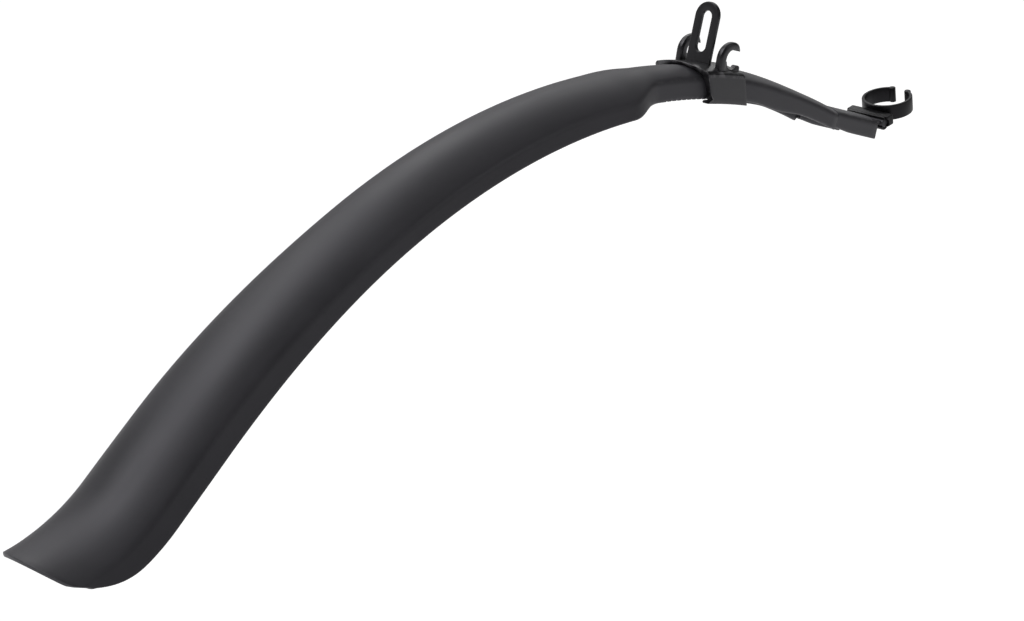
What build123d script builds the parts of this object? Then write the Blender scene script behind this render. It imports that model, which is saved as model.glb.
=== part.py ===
"""Rear bicycle mudguard: a moulded blade, a bridge bracket that slides on its neck, and a seat tube clip.

Frame: the origin is the middle of the bolt slot in the bracket's tab. X points forward to the seat tube,
Y to the left and Z up, away from the wheel axle, which lies straight below the tab. Millimetres.
"""

import os
from math import asin, cos, degrees, hypot, radians, sin, sqrt, tan
from typing import NamedTuple

from build123d import *


class Section(NamedTuple):
    """Cross-section of the blade: an arched top, a rounded crease on each side and a side flange."""

    half_width: float  # from the middle to the crease
    arch: float  # drop of the top from the middle to the crease
    splay: float  # how far the flange leans out below the crease
    flange: float  # drop of the flange below the crease
    crease: float  # outside radius of the crease


# Wheel and blade line, seen from the side
crown_radius = 417.8  # top of the blade, from the wheel axle
slot_rise = 18.0  # middle of the bolt slot above the top of the blade
front_angle = 15.9  # end of the round front extension, degrees ahead of the tab
tail_angle = 53.6  # end of the round stretch, degrees behind the tab
tail_straight = 38.5  # straight run behind the round stretch
flare_length = 48.0  # tail that kicks out, along its curve
flare_radius = 86.0

# Blade sections
wall = 2.0
wide = Section(half_width=25.3, arch=9.5, splay=1.9, flange=7.6, crease=3.0)
tail = Section(half_width=27.3, arch=0.5, splay=4.5, flange=9.8, crease=3.0)
neck = Section(half_width=14.8, arch=5.0, splay=0.5, flange=9.0, crease=3.0)
flatten_angle = 34.0  # where the arch starts to flatten towards the tail, degrees behind the tab
wide_angle = 11.3  # front of the full width
neck_angle = 6.7  # rear of the neck's even section
neck_sink = 1.5  # top of the neck and the extension below the line of the wide part
corner_length = 42.0  # rounded end of each flange at the tail
corner_drop = 0.3  # how steeply that end sets off from the tail's edge
tail_bulge = 2.8  # how far the middle of the tail's end edge stands back
station_step = 11.0  # between the sections behind the neck

# Teeth along the neck's lower edges
tooth_pitch = 4.0
tooth_depth = 1.0
tooth_front_angle = 2.4

# Straight front end with the hinge pin
nose = Section(half_width=13.2, arch=2.2, splay=0.3, flange=9.8, crease=2.8)
nose_sink = 1.0  # step down from the round extension to the straight end
nose_slope = 7.9  # fall of the straight end, degrees
nose_length = 41.0  # from the step to the front edge of the side flanges
nose_overlap = 5.0  # part of the straight end inside the extension
pin_reach = 6.3  # pin centre ahead of the front edge
pin_radius = 2.3
pin_length = 26.0
pin_fit = 0.06  # running clearance in the knuckle

# Bracket
slide_gap = 0.3  # clearance of the bracket on the neck, all round
saddle_top = 1.6  # wall over the crown
lip_thickness = 1.6
saddle_depth = saddle_top + neck.arch + neck.flange + 2 * slide_gap + lip_thickness
saddle_arch = 3.0
saddle = Section(half_width=18.2, arch=saddle_arch, splay=0.3, flange=saddle_depth - saddle_arch, crease=1.6)
saddle_rear = -15.4  # rear edge at the shoulder
saddle_front = 16.0  # front edge at the shoulder
rear_slant = 8.0  # how far the lower end of the rear edge stands forward
front_slant = 5.6  # the same for the front edge
lip_reach = 4.2  # lip's inward reach from the outside of the wall
tab_width = 15.6
tab_thickness = 2.3
tab_rise = 15.6  # top of the tab above the slot's middle
tab_edge = 0.5  # bevel of the tab's rim
slot_width = 6.4
slot_length = 21.7

# Hooks for the brake bridge
hook_spread = 26.9  # between the middles of the two hooks
hook_thickness = 4.2
bridge_diameter = 10.2
bridge_x = 7.5  # middle of the bridge ahead of the tab
bridge_rise = 5.5  # middle of the bridge above the crown
stem_depth = 5.0
hook_crown = 4.2  # thickness over the bridge
hook_tip = 5.9  # tip ahead of the bridge's middle
tip_drop = 0.6  # tip below the top of the bridge
jaw_front = 6.2  # front of the lower jaw ahead of the bridge's middle
jaw_lip = 2.7  # top of the jaw's front lip above the crown
hook_edge = 0.6  # bevel of the hooks' rims

# Seat tube clip, in the plane of its ring
seat_tube_diameter = 25.4
ring_wall = 1.8
ring_height = 7.5
ring_top = 5.2  # top of the ring above the pin, across its plane
ring_tilt = 18.8  # rise of the ring's plane towards the front, degrees
bar_rear = 1.0  # rear face of the base bar ahead of the pin
bar_depth = 5.5  # from the bar's rear face to the tube
bar_end = 4.5  # fore-and-aft size of the bar's ends
bar_length = 28.5
knuckle_wall = 1.4
knuckle_swing = 25.0  # room for the pin's web either way, degrees
tip_gap = 7.0  # opening between the tips
tip_bead = 1.9  # radius of the thickened tips

axle_z = -crown_radius - slot_rise


def on_wheel(angle: float, radius: float) -> Vector:
    """Point in the middle plane at an angle ahead of the tab and a radius from the axle."""
    return Vector(radius * sin(radians(angle)), 0, axle_z + radius * cos(radians(angle)))


def cross_plane(origin: Vector, angle: float) -> Plane:
    """Plane across the blade: its x runs along Y, and its y leans forward from Z by the angle."""
    return Plane(origin, x_dir=(0, 1, 0), z_dir=(cos(radians(angle)), 0, -sin(radians(angle))))


def ease(value: float, start: float, end: float) -> float:
    """Smooth step from 0 at start to 1 at end."""
    share = min(max((value - start) / (end - start), 0.0), 1.0)
    return share * share * (3 - 2 * share)


def mix(first: Section, second: Section, share: float) -> Section:
    """Section between two others."""
    return Section(*(a + (b - a) * share for a, b in zip(first, second)))


def shell_corner(shape: Section) -> tuple[float, float, Vector, Vector]:
    """Radius of the arch, its centre height, the crease's centre and the flange's inward normal."""
    arch_radius = (shape.half_width**2 + shape.arch**2) / (2 * shape.arch)
    length = hypot(shape.splay, shape.flange)
    along = Vector(shape.splay / length, -shape.flange / length)
    inward = Vector(-shape.flange / length, -shape.splay / length)
    start = Vector(shape.half_width, arch_radius - shape.arch) + inward * shape.crease
    lean = start.dot(along)
    reach = -lean - sqrt(lean**2 - start.dot(start) + (arch_radius - shape.crease) ** 2)
    centre = start + along * reach - Vector(0, arch_radius)
    return arch_radius, -arch_radius, centre, inward


def outline(shape: Section, inset: float) -> list[Vector]:
    """Points of one side of the section, moved inwards: top, arch end, mid crease, flange top and foot."""
    arch_radius, arch_y, centre, inward = shell_corner(shape)
    spoke = (centre - Vector(0, arch_y)).normalized()
    radius = shape.crease - inset
    foot = Vector(shape.half_width + shape.splay, -shape.arch - shape.flange) + inward * inset
    return [
        Vector(0, -inset),
        Vector(0, arch_y) + spoke * (arch_radius - inset),
        centre + (spoke - inward).normalized() * radius,
        centre - inward * radius,
        foot,
    ]


def mirrored(point: Vector) -> Vector:
    """The point on the other side of the section."""
    return Vector(-point.X, point.Y)


def shell_face(shape: Section, thickness: float) -> Sketch:
    """Closed thin-walled section, flat in XY with the middle of its top at the origin.

    Each crease is round outside and a small flat inside.
    """
    top, arch_end, crease, flange_top, foot = outline(shape, 0)
    top_in, arch_end_in, _, flange_top_in, foot_in = outline(shape, thickness)
    with BuildSketch() as face:
        with BuildLine():
            ThreePointArc(mirrored(arch_end), top, arch_end)
            ThreePointArc(arch_end, crease, flange_top)
            Polyline(flange_top, foot, foot_in, flange_top_in, arch_end_in)
            ThreePointArc(arch_end_in, top_in, mirrored(arch_end_in))
            far_side = [mirrored(point) for point in (arch_end_in, flange_top_in, foot_in, foot, flange_top)]
            Polyline(*far_side)
            ThreePointArc(mirrored(flange_top), mirrored(crease), mirrored(arch_end))
        make_face()
    return face.sketch


def filled_face(shape: Section, inset: float) -> Sketch:
    """Region under the section's outline, flat in XY, closed straight across between its feet."""
    top, arch_end, crease, flange_top, foot = outline(shape, inset)
    with BuildSketch() as face:
        with BuildLine():
            ThreePointArc(mirrored(arch_end), top, arch_end)
            ThreePointArc(arch_end, crease, flange_top)
            Polyline(flange_top, foot, mirrored(foot), mirrored(flange_top))
            ThreePointArc(mirrored(flange_top), mirrored(crease), mirrored(arch_end))
        make_face()
    return face.sketch


def blade_shape(angle: float, past_arc: float) -> tuple[Section, float]:
    """Section of the blade and how far its top lies below the crown line.

    The angle is ahead of the tab, and past_arc is the distance along the tail behind the round stretch.
    """
    flat_start = radians(tail_angle - flatten_angle) * crown_radius
    flat_end = flat_start + tail_straight + flare_length
    along = radians(-flatten_angle - angle) * crown_radius + past_arc
    shape = mix(wide, tail, ease(along, 0, flat_end))
    narrowing = ease(angle, -wide_angle, -neck_angle)
    return mix(shape, neck, narrowing), neck_sink * narrowing


# Stations along the blade, evenly spaced from the rear of the neck to the tail
arc_end = cross_plane(on_wheel(-tail_angle, crown_radius), -tail_angle)
backward = -arc_end.z_dir
flare_centre = arc_end.origin + backward * tail_straight + arc_end.y_dir * flare_radius
round_length = radians(tail_angle - neck_angle) * crown_radius
loft_length = round_length + tail_straight + flare_length
station_count = round(loft_length / station_step)
stations = []
for i in range(station_count + 1):
    along = loft_length * i / station_count
    angle = max(-neck_angle - degrees(along / crown_radius), -tail_angle)
    past_arc = max(along - round_length, 0)
    section, sink = blade_shape(angle, past_arc)
    turn = max(degrees((past_arc - tail_straight) / flare_radius), 0)
    plane = cross_plane(on_wheel(angle, crown_radius - sink), angle + turn)
    if past_arc > 0:
        plane.origin = arc_end.origin + backward * past_arc
    if turn > 0:
        plane.origin = flare_centre - plane.y_dir * flare_radius
    stations.append((plane, section))
neck_plane = stations[0][0]
tail_plane = stations[-1][0]

# Straight front end: from inside the extension to the hinge pin
step_top = on_wheel(front_angle, crown_radius - neck_sink)
nose_dir = Vector(cos(radians(nose_slope)), 0, -sin(radians(nose_slope)))
nose_up = Vector(sin(radians(nose_slope)), 0, cos(radians(nose_slope)))
nose_start = cross_plane(step_top - nose_dir * nose_overlap - nose_up * nose_sink, nose_slope)
web_middle = nose_start.origin + nose_dir * (nose_overlap + nose_length) - nose_up * (wall / 2 + nose.arch / 2)
pin_centre = web_middle + nose_dir * pin_reach

# Blade
axle = Axis((0, 0, axle_z), (0, 1, 0))
with BuildPart() as blade:
    for plane, section in stations:
        with BuildSketch(plane):
            add(shell_face(section, wall))
    loft()
    with BuildSketch(neck_plane):
        add(shell_face(neck, wall))
    revolve(axis=axle, revolution_arc=neck_angle + front_angle)

    # Rounded flange ends and a bowed end edge at the tail
    tail_side = Plane(tail_plane.origin, x_dir=tail_plane.z_dir, z_dir=-tail_plane.x_dir)
    corner_turn = corner_length / flare_radius
    corner_foot = flare_radius * (1 - cos(corner_turn)) - (tail.arch + tail.flange) * cos(corner_turn) - wall
    corner_top = -tail.arch - wall
    clear = 2 * tail.flange
    with BuildSketch(tail_side):
        with BuildLine():
            corner_start = (tail_bulge, corner_top)
            corner_slopes = [(1, -corner_drop), (1, tan(corner_turn))]
            Spline(corner_start, (corner_length, corner_foot), tangents=corner_slopes)
            Polyline(
                (corner_length, corner_foot),
                (corner_length, corner_foot - clear),
                (-clear, corner_foot - clear),
                (-clear, corner_top),
                corner_start,
            )
        make_face()
    extrude(amount=2 * tail.half_width, both=True, mode=Mode.SUBTRACT)
    tail_half = tail.half_width + tail.splay
    with BuildSketch(Plane(tail_plane.origin, x_dir=tail_plane.x_dir, z_dir=tail_plane.y_dir)):
        with BuildLine():
            ThreePointArc((-tail_half, -tail_bulge), (0, 0), (tail_half, -tail_bulge))
            Polyline((tail_half, -tail_bulge), (tail_half, clear), (-tail_half, clear), (-tail_half, -tail_bulge))
        make_face()
    extrude(amount=2 * clear, both=True, mode=Mode.SUBTRACT)

    # Straight end with its step, then the web and the pin
    with BuildSketch(nose_start):
        add(shell_face(nose, wall))
    extrude(amount=nose_overlap + nose_length)
    web_plane = Plane(pin_centre, x_dir=nose_dir, z_dir=nose_up)
    with BuildSketch(web_plane):
        with Locations((-pin_reach / 2 - wall, 0)):
            Rectangle(pin_reach + 2 * wall, pin_length)
    extrude(amount=wall / 2, both=True)
    with BuildSketch(Plane.XZ.offset(-pin_length / 2)):
        with Locations((pin_centre.X, pin_centre.Z)):
            Circle(pin_radius)
    extrude(amount=pin_length)

    # Teeth across both lower edges of the neck
    neck_foot = crown_radius - neck_sink - neck.arch - neck.flange
    tooth_angle = degrees(tooth_pitch / neck_foot)
    tooth_count = int((neck_angle + tooth_front_angle) / tooth_angle)
    with BuildSketch(Plane.XZ):
        for i in range(tooth_count):
            angle = tooth_front_angle - (i + 0.5) * tooth_angle
            tip = on_wheel(angle, neck_foot + tooth_depth)
            heel = on_wheel(angle - tooth_angle / 2, neck_foot - tooth_depth)
            toe = on_wheel(angle + tooth_angle / 2, neck_foot - tooth_depth)
            with BuildLine():
                Polyline(*[(point.X, point.Z) for point in (heel, tip, toe)], close=True)
            make_face()
    extrude(amount=2 * neck.half_width, both=True, mode=Mode.SUBTRACT)

# One hook with its lower jaw, in the plane of its middle
crown_z = -slot_rise
bridge_z = crown_z + bridge_rise
bridge_radius = bridge_diameter / 2
stem_front = bridge_x - bridge_radius
stem_rear = stem_front - stem_depth
hook_root = crown_z - saddle_arch - saddle_top / 2
lip_z = crown_z + jaw_lip
lip_angle = degrees(asin((lip_z - bridge_z) / bridge_radius))
lip_x = bridge_x + bridge_radius * cos(radians(lip_angle))
hook_plane = Plane.XZ.offset(hook_spread / 2)
with BuildPart() as hook:
    with BuildSketch(hook_plane):
        with BuildLine():
            Line((stem_rear, hook_root), (stem_rear, bridge_z))
            EllipticalCenterArc(
                (bridge_x, bridge_z), bridge_radius + stem_depth, bridge_radius + hook_crown, 90, arc_size=90
            )
            hook_top = (bridge_x, bridge_z + bridge_radius + hook_crown)
            tip_end = (bridge_x + hook_tip, bridge_z + bridge_radius - tip_drop)
            TangentArc(hook_top, tip_end, tangent=(1, 0))
            Line(tip_end, (bridge_x, bridge_z + bridge_radius))
            CenterArc((bridge_x, bridge_z), bridge_radius, 90, 270 + lip_angle)
            Polyline(
                (lip_x, lip_z),
                (bridge_x + jaw_front, lip_z),
                (bridge_x + jaw_front, hook_root),
                (stem_rear, hook_root),
            )
        make_face()
    extrude(amount=hook_thickness / 2, both=True)
    cheeks = hook.faces().sort_by(Axis.Y)
    chamfer(cheeks[0].edges() + cheeks[-1].edges(), hook_edge)

# The tab with its bolt slot
shoulder_z = crown_z - neck_sink + slide_gap + saddle_top - saddle_arch
tab_shoulder = tab_rise - tab_width / 2
with BuildPart() as tab:
    with BuildSketch(Plane.YZ):
        with BuildLine():
            tab_foot = (tab_width / 2, shoulder_z)
            Line(tab_foot, (tab_width / 2, tab_shoulder))
            CenterArc((0, tab_shoulder), tab_width / 2, 0, 180)
            Polyline((-tab_width / 2, tab_shoulder), (-tab_width / 2, shoulder_z), tab_foot)
        make_face()
    extrude(amount=tab_thickness / 2, both=True)
    cheeks = tab.faces().sort_by(Axis.X)
    chamfer(cheeks[0].edges() + cheeks[-1].edges(), tab_edge)
    with BuildSketch(Plane.YZ):
        SlotOverall(slot_length, slot_width, rotation=90)
    extrude(amount=tab_thickness, both=True, mode=Mode.SUBTRACT)

# Bridge bracket
sweep_half = 6.0
saddle_plane = cross_plane(on_wheel(-sweep_half, crown_radius - neck_sink), -sweep_half)
bore = neck._replace(flange=neck.flange + slide_gap)
with BuildPart() as bridge_bracket:
    # Saddle as a solid block with slanted rear and front edges
    with BuildSketch(saddle_plane):
        with Locations((0, slide_gap + saddle_top)):
            add(filled_face(saddle, 0))
    revolve(axis=axle, revolution_arc=2 * sweep_half)
    fall = saddle_depth - saddle_arch
    rear_slope = rear_slant / fall
    front_slope = front_slant / fall
    over = saddle_depth
    with BuildSketch(Plane.XZ):
        with BuildLine():
            Polyline(
                (saddle_rear - rear_slope * over, shoulder_z + over),
                (saddle_front - front_slope * over, shoulder_z + over),
                (saddle_front + front_slope * 2 * over, shoulder_z - 2 * over),
                (saddle_rear + rear_slope * 2 * over, shoulder_z - 2 * over),
                close=True,
            )
        make_face()
    extrude(amount=2 * saddle.half_width, both=True, mode=Mode.INTERSECT)

    # Tab and hooks
    add(hook.part)
    add(hook.part.mirror(Plane.XZ))
    add(tab.part)

    # Bore for the neck, open between the lips
    with BuildSketch(saddle_plane):
        add(filled_face(bore, -slide_gap))
        with Locations((0, slide_gap + saddle_top - saddle_depth)):
            Rectangle(2 * (saddle.half_width + saddle.splay - lip_reach), 3 * lip_thickness)
    revolve(axis=axle, revolution_arc=2 * sweep_half, mode=Mode.SUBTRACT)

# Seat tube clip, in the plane of its ring with the pin's centre at its origin
clip_dir = Vector(cos(radians(ring_tilt)), 0, sin(radians(ring_tilt)))
clip_plane = Plane(pin_centre, x_dir=clip_dir, z_dir=(-sin(radians(ring_tilt)), 0, cos(radians(ring_tilt))))
tube_radius = seat_tube_diameter / 2
ring_x = bar_rear + bar_depth + tube_radius
tip_radius = tube_radius + ring_wall / 2
tip_angle = degrees(asin((tip_gap / 2 + tip_bead) / tip_radius))
knuckle_radius = pin_radius + pin_fit + knuckle_wall
mouth_half = degrees(asin(wall / 2 / pin_radius)) + knuckle_swing
with BuildPart() as seat_tube_clip:
    with BuildSketch(clip_plane.offset(ring_top)):
        with Locations((ring_x, 0)):
            Circle(tube_radius + ring_wall)
        with Locations((bar_rear + bar_end / 2, 0)):
            Rectangle(bar_end, bar_length)
        with Locations((ring_x, 0)):
            Circle(tube_radius, mode=Mode.SUBTRACT)
        reach = 2 * tube_radius
        half_gap = reach * tan(radians(tip_angle))
        with BuildLine():
            Polyline((ring_x, 0), (ring_x + reach, half_gap), (ring_x + reach, -half_gap), close=True)
        make_face(mode=Mode.SUBTRACT)
        for side in (-tip_angle, tip_angle):
            with Locations((ring_x + tip_radius * cos(radians(side)), tip_radius * sin(radians(side)))):
                Circle(tip_bead)
    extrude(amount=-ring_height)

    # Knuckle round the pin, open towards the blade
    mouth = 180 - nose_slope - ring_tilt
    mouth_reach = 2 * knuckle_radius
    with BuildSketch(Plane(pin_centre, x_dir=clip_dir, z_dir=(0, -1, 0)).offset(-pin_length / 2)):
        Circle(knuckle_radius)
    extrude(amount=pin_length)
    with BuildSketch(Plane(pin_centre, x_dir=clip_dir, z_dir=(0, -1, 0)).offset(-pin_length)):
        Circle(pin_radius + pin_fit)
        with BuildLine():
            ends = [mouth - mouth_half, mouth + mouth_half]
            rim = [(mouth_reach * cos(radians(end)), mouth_reach * sin(radians(end))) for end in ends]
            Polyline((0, 0), *rim, close=True)
        make_face()
    extrude(amount=2 * pin_length, mode=Mode.SUBTRACT)

blade.part.label = "blade"
bridge_bracket.part.label = "bridge_bracket"
seat_tube_clip.part.label = "seat_tube_clip"

os.makedirs("parts", exist_ok=True)
for piece in (blade, bridge_bracket, seat_tube_clip):
    export_step(piece.part, f"parts/{piece.part.label}.step")
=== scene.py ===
"""Dresses the rear mudguard: its lofted blade, the sliding bracket and the seat tube clip.

Metres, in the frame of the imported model: X points forward to the seat tube, Y to the left and Z up, away
from the wheel axle, which lies straight below the bracket's tab.
"""

import logging
from dataclasses import dataclass, replace
from enum import Enum
from math import asin, atan2, cos, hypot, pi, radians, sin, sqrt

import bmesh
import bpy
from mathutils import Matrix, Vector


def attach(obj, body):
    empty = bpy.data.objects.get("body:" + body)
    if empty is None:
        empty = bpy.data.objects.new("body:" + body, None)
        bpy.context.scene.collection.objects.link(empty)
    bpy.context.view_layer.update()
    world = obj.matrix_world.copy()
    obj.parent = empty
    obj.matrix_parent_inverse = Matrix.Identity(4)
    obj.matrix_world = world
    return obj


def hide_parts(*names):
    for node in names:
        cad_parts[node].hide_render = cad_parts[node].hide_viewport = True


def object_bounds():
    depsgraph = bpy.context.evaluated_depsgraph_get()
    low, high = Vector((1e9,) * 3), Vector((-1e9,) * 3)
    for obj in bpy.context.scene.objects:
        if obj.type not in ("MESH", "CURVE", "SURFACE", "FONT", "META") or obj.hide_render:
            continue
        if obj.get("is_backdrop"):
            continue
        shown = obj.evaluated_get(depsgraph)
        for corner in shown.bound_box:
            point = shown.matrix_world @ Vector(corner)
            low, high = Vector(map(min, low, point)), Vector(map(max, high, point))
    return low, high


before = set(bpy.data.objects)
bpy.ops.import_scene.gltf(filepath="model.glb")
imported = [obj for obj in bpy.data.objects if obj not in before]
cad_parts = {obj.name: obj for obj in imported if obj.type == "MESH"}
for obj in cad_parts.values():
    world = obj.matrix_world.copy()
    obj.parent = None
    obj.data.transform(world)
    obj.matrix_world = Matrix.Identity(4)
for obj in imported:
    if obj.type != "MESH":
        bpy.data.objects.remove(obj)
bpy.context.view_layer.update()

LOG = logging.getLogger("mudguard")
MM = 0.001

ARCH_STEPS = 12
SIDE_STEPS = 9
FOOT_STEPS = 3
TRAIL_STEPS = 60
CORNER_STEPS = 4
PIN_STEPS = 40
SADDLE_STEPS = 12
TAB_STEPS = 20
HOOK_STEPS = 16
TIP_END = 0.93
RING_STEPS = 64
BEAD_STEPS = 12
BEAD_START = radians(12)
RIM_STEPS = 3
STEP_RIM_STEPS = 2
NOSE_STEPS = 8
STEM_STEPS = 4
TRAIL_POWER = 1.5
GROOVE_FADE = 1.3
CUT_FADE = 0.45
TONGUE_RISE = 1.5
TONGUE_FULL = 0.6
TIP_SLIM = 0.55
JAW_TURNS = (pi / 6, pi / 3, pi / 2 * 0.96)
BORE_REACH = 0.6
CORNER_ROOM = 0.98
END_ROUNDS = 4
TINY = 1e-6
MERGE = 0.001 * MM
SMOOTH_ANGLE = 35
RIM_ANGLE = radians(24)
RIM = "rim"

Point = tuple[float, float]
Socket = bpy.types.NodeSocket


class Body(Enum):
    """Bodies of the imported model."""

    BRACKET = "bracket"
    BLADE = "blade"
    CLIP = "clip"


class Slot(Enum):
    """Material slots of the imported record."""

    BLADE = "blade_plastic"
    FITTING = "fitting_plastic"


class Join(Enum):
    """Ways to combine two solid meshes."""

    UNION = "UNION"
    CUT = "DIFFERENCE"


class Ends(Enum):
    """Ways to close the two ends of a swept ring."""

    FACE = "one face at each end"
    WALL = "first half of the ring bridged to its second half, as outer and inner wall"
    LOOP = "last ring joined to the first"


def ease(value: float, start: float, end: float) -> float:
    """Gives a smooth step from 0 at start to 1 at end.

    Args:
        value: Where to read the step.
        start: Value at and before which it is 0.
        end: Value at and after which it is 1.

    Returns:
        The height of the step.
    """
    share = min(max((value - start) / (end - start), 0.0), 1.0)
    return share * share * (3 - 2 * share)


def deselect() -> None:
    """Leaves nothing selected."""
    bpy.ops.object.select_all(action="DESELECT")


def start_loop(name: str, count: int) -> bpy.types.Object:
    """Adds an open ring of vertices as the start of a lofted piece.

    Args:
        name: Name of the new object.
        count: How many vertices the ring has.

    Returns:
        The new object, active and in edit mode with all of its ring selected.
    """
    deselect()
    bpy.ops.mesh.primitive_circle_add(vertices=count, radius=MM, fill_type="NOTHING")
    piece = bpy.context.object
    piece.name = name
    piece.data.name = name
    bpy.ops.object.mode_set(mode="EDIT")
    bpy.ops.mesh.select_mode(type="VERT")
    bpy.ops.mesh.select_all(action="SELECT")
    return piece


def place_selected(piece: bpy.types.Object, places: list[Vector]) -> None:
    """Moves the selected vertices, in their order, to the given places.

    Args:
        piece: Object in edit mode.
        places: One place for each selected vertex.
    """
    mesh = bmesh.from_edit_mesh(piece.data)
    chosen = [vert for vert in mesh.verts if vert.select]
    for vert, place in zip(chosen, places, strict=True):
        vert.co = place
    bmesh.update_edit_mesh(piece.data)


def sweep(name: str, rings: list[list[Vector]], ends: Ends = Ends.FACE) -> bpy.types.Object:
    """Extrudes a ring from place to place into a solid bar or a thin-walled channel.

    Args:
        name: Name of the new object.
        rings: Places of the ring's vertices at each stop.
        ends: How the two ends are closed.

    Returns:
        The new object, in object mode.
    """
    count = len(rings[0])
    piece = start_loop(name, count)
    place_selected(piece, rings[0])
    for ring in rings[1:] + rings[: int(ends is Ends.LOOP)]:
        bpy.ops.mesh.extrude_region_move()
        place_selected(piece, ring)
    for first in (0, count * (len(rings) - 1)):
        if ends is Ends.WALL:
            close_end(piece, first, count)
        elif ends is Ends.FACE:
            cap_end(piece, range(first, first + count))
    bpy.ops.mesh.select_all(action="SELECT")
    bpy.ops.mesh.remove_doubles(threshold=MERGE)
    bpy.ops.mesh.normals_make_consistent(inside=False)
    bpy.ops.object.mode_set(mode="OBJECT")
    return piece


def cap_end(piece: bpy.types.Object, ring: range) -> None:
    """Fills the end of a bar with one face.

    Args:
        piece: Object in edit mode.
        ring: Indices of the end ring's vertices.
    """
    bpy.ops.mesh.select_all(action="DESELECT")
    mesh = bmesh.from_edit_mesh(piece.data)
    mesh.verts.ensure_lookup_table()
    for index in ring:
        mesh.verts[index].select_set(True)
    mesh.select_flush(True)
    bmesh.update_edit_mesh(piece.data)
    bpy.ops.mesh.edge_face_add()


def bar_ring(middle: Vector, across: Vector, beside: Vector, rounding: float) -> list[Vector]:
    """Draws a rounded rectangle.

    Args:
        middle: Its middle.
        across: From the middle to the middle of one side.
        beside: From the middle to the middle of the next side.
        rounding: Radius of its corners, where there is room for it.

    Returns:
        Places round the rectangle.
    """
    radius = min(rounding, CORNER_ROOM * across.length, CORNER_ROOM * beside.length)
    right = across.normalized()
    up = beside.normalized()
    places = []
    for corner in range(4):
        turn = pi / 2 * corner
        side = 1 if corner in (0, 3) else -1
        level = 1 if corner in (0, 1) else -1
        centre = middle + right * side * (across.length - radius) + up * level * (beside.length - radius)
        for step in range(CORNER_STEPS + 1):
            here = turn + pi / 2 * step / CORNER_STEPS
            places.append(centre + right * radius * cos(here) + up * radius * sin(here))
    return places


def rim_stops(radius: float, steps: int) -> list[Point]:
    """Lists the stops over a rounded rim, from the very end inwards.

    Args:
        radius: Radius of the rim.
        steps: How many steps the quarter turn has.

    Returns:
        Each stop's distance from the end, and how far the outline is shrunk there.
    """
    turns = [pi / 2 * (1 - step / steps) for step in range(steps + 1)]
    return [(radius * (1 - sin(turn)), radius * (1 - cos(turn))) for turn in turns]


def circle(middle: Vector, radius: float) -> list[Vector]:
    """Draws a circle about the direction of Y.

    Args:
        middle: Its centre.
        radius: Its radius.

    Returns:
        Places round the circle.
    """
    turns = [2 * pi * step / PIN_STEPS for step in range(PIN_STEPS)]
    return [middle + Vector((cos(turn), 0, sin(turn))) * radius for turn in turns]


def round_ends(piece: bpy.types.Object, radius: float) -> None:
    """Rounds the rims of a bar's two end faces.

    Args:
        piece: Bar whose end faces are the ones with many sides.
        radius: Radius of the rims.
    """
    activate(piece)
    bpy.ops.object.mode_set(mode="EDIT")
    bpy.ops.mesh.select_mode(type="FACE")
    bpy.ops.mesh.select_all(action="DESELECT")
    mesh = bmesh.from_edit_mesh(piece.data)
    for face in mesh.faces:
        face.select_set(len(face.verts) > 4)
    bmesh.update_edit_mesh(piece.data)
    bpy.ops.mesh.region_to_loop()
    bpy.ops.mesh.bevel(offset=radius, segments=RIM_STEPS, affect="EDGES")
    bpy.ops.object.mode_set(mode="OBJECT")


def activate(piece: bpy.types.Object) -> None:
    """Makes a piece the only one selected and active.

    Args:
        piece: Piece to select.
    """
    deselect()
    piece.select_set(True)
    bpy.context.view_layer.objects.active = piece


def combine(piece: bpy.types.Object, tool: bpy.types.Object, way: Join) -> None:
    """Joins or cuts a piece with another, which is used up.

    Args:
        piece: Piece to change.
        tool: Piece to join or cut with.
        way: What is done.
    """
    modifier = piece.modifiers.new("combine", "BOOLEAN")
    modifier.operation = way.value
    modifier.solver = "EXACT"
    modifier.object = tool
    activate(piece)
    bpy.ops.object.modifier_apply(modifier=modifier.name)
    bpy.data.objects.remove(tool)


def copied(piece: bpy.types.Object, name: str, shift: Vector) -> bpy.types.Object:
    """Copies a piece with its own mesh.

    Args:
        piece: Piece to copy.
        name: Name of the copy.
        shift: How far the copy's mesh is moved.

    Returns:
        The copy.
    """
    twin = piece.copy()
    twin.data = piece.data.copy()
    twin.name = name
    bpy.context.scene.collection.objects.link(twin)
    twin.data.transform(Matrix.Translation(shift))
    return twin


def dress(piece: bpy.types.Object, body: Body, node: str, finish: bpy.types.Material) -> None:
    """Finishes a piece, gives it its material and sets it on its body in place of the CAD node.

    Args:
        piece: Finished piece.
        body: Body that it rides on.
        node: CAD node that it replaces.
        finish: Its material.
    """
    piece.data.materials.clear()
    piece.data.materials.append(finish)
    activate(piece)
    bpy.ops.object.shade_smooth_by_angle(angle=radians(SMOOTH_ANGLE))
    mark_rims(piece)
    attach(piece, body.value)
    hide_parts(node)
    LOG.info("%s: %d faces", piece.name, len(piece.data.polygons))


def close_end(piece: bpy.types.Object, first: int, count: int) -> None:
    """Bridges the outer and the inner wall of a lofted piece's end.

    Args:
        piece: Object in edit mode.
        first: Index of the end ring's first vertex.
        count: How many vertices the ring has.
    """
    bpy.ops.mesh.select_all(action="DESELECT")
    mesh = bmesh.from_edit_mesh(piece.data)
    mesh.verts.ensure_lookup_table()
    half = count // 2
    for wall in (range(first, first + half), range(first + half, first + count)):
        for near, far in zip(wall, wall[1:]):
            edge = mesh.edges.get((mesh.verts[near], mesh.verts[far]))
            edge.select_set(True)
    bmesh.update_edit_mesh(piece.data)
    bpy.ops.mesh.select_mode(type="EDGE")
    bpy.ops.mesh.bridge_edge_loops()
    bpy.ops.mesh.select_mode(type="VERT")


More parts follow.
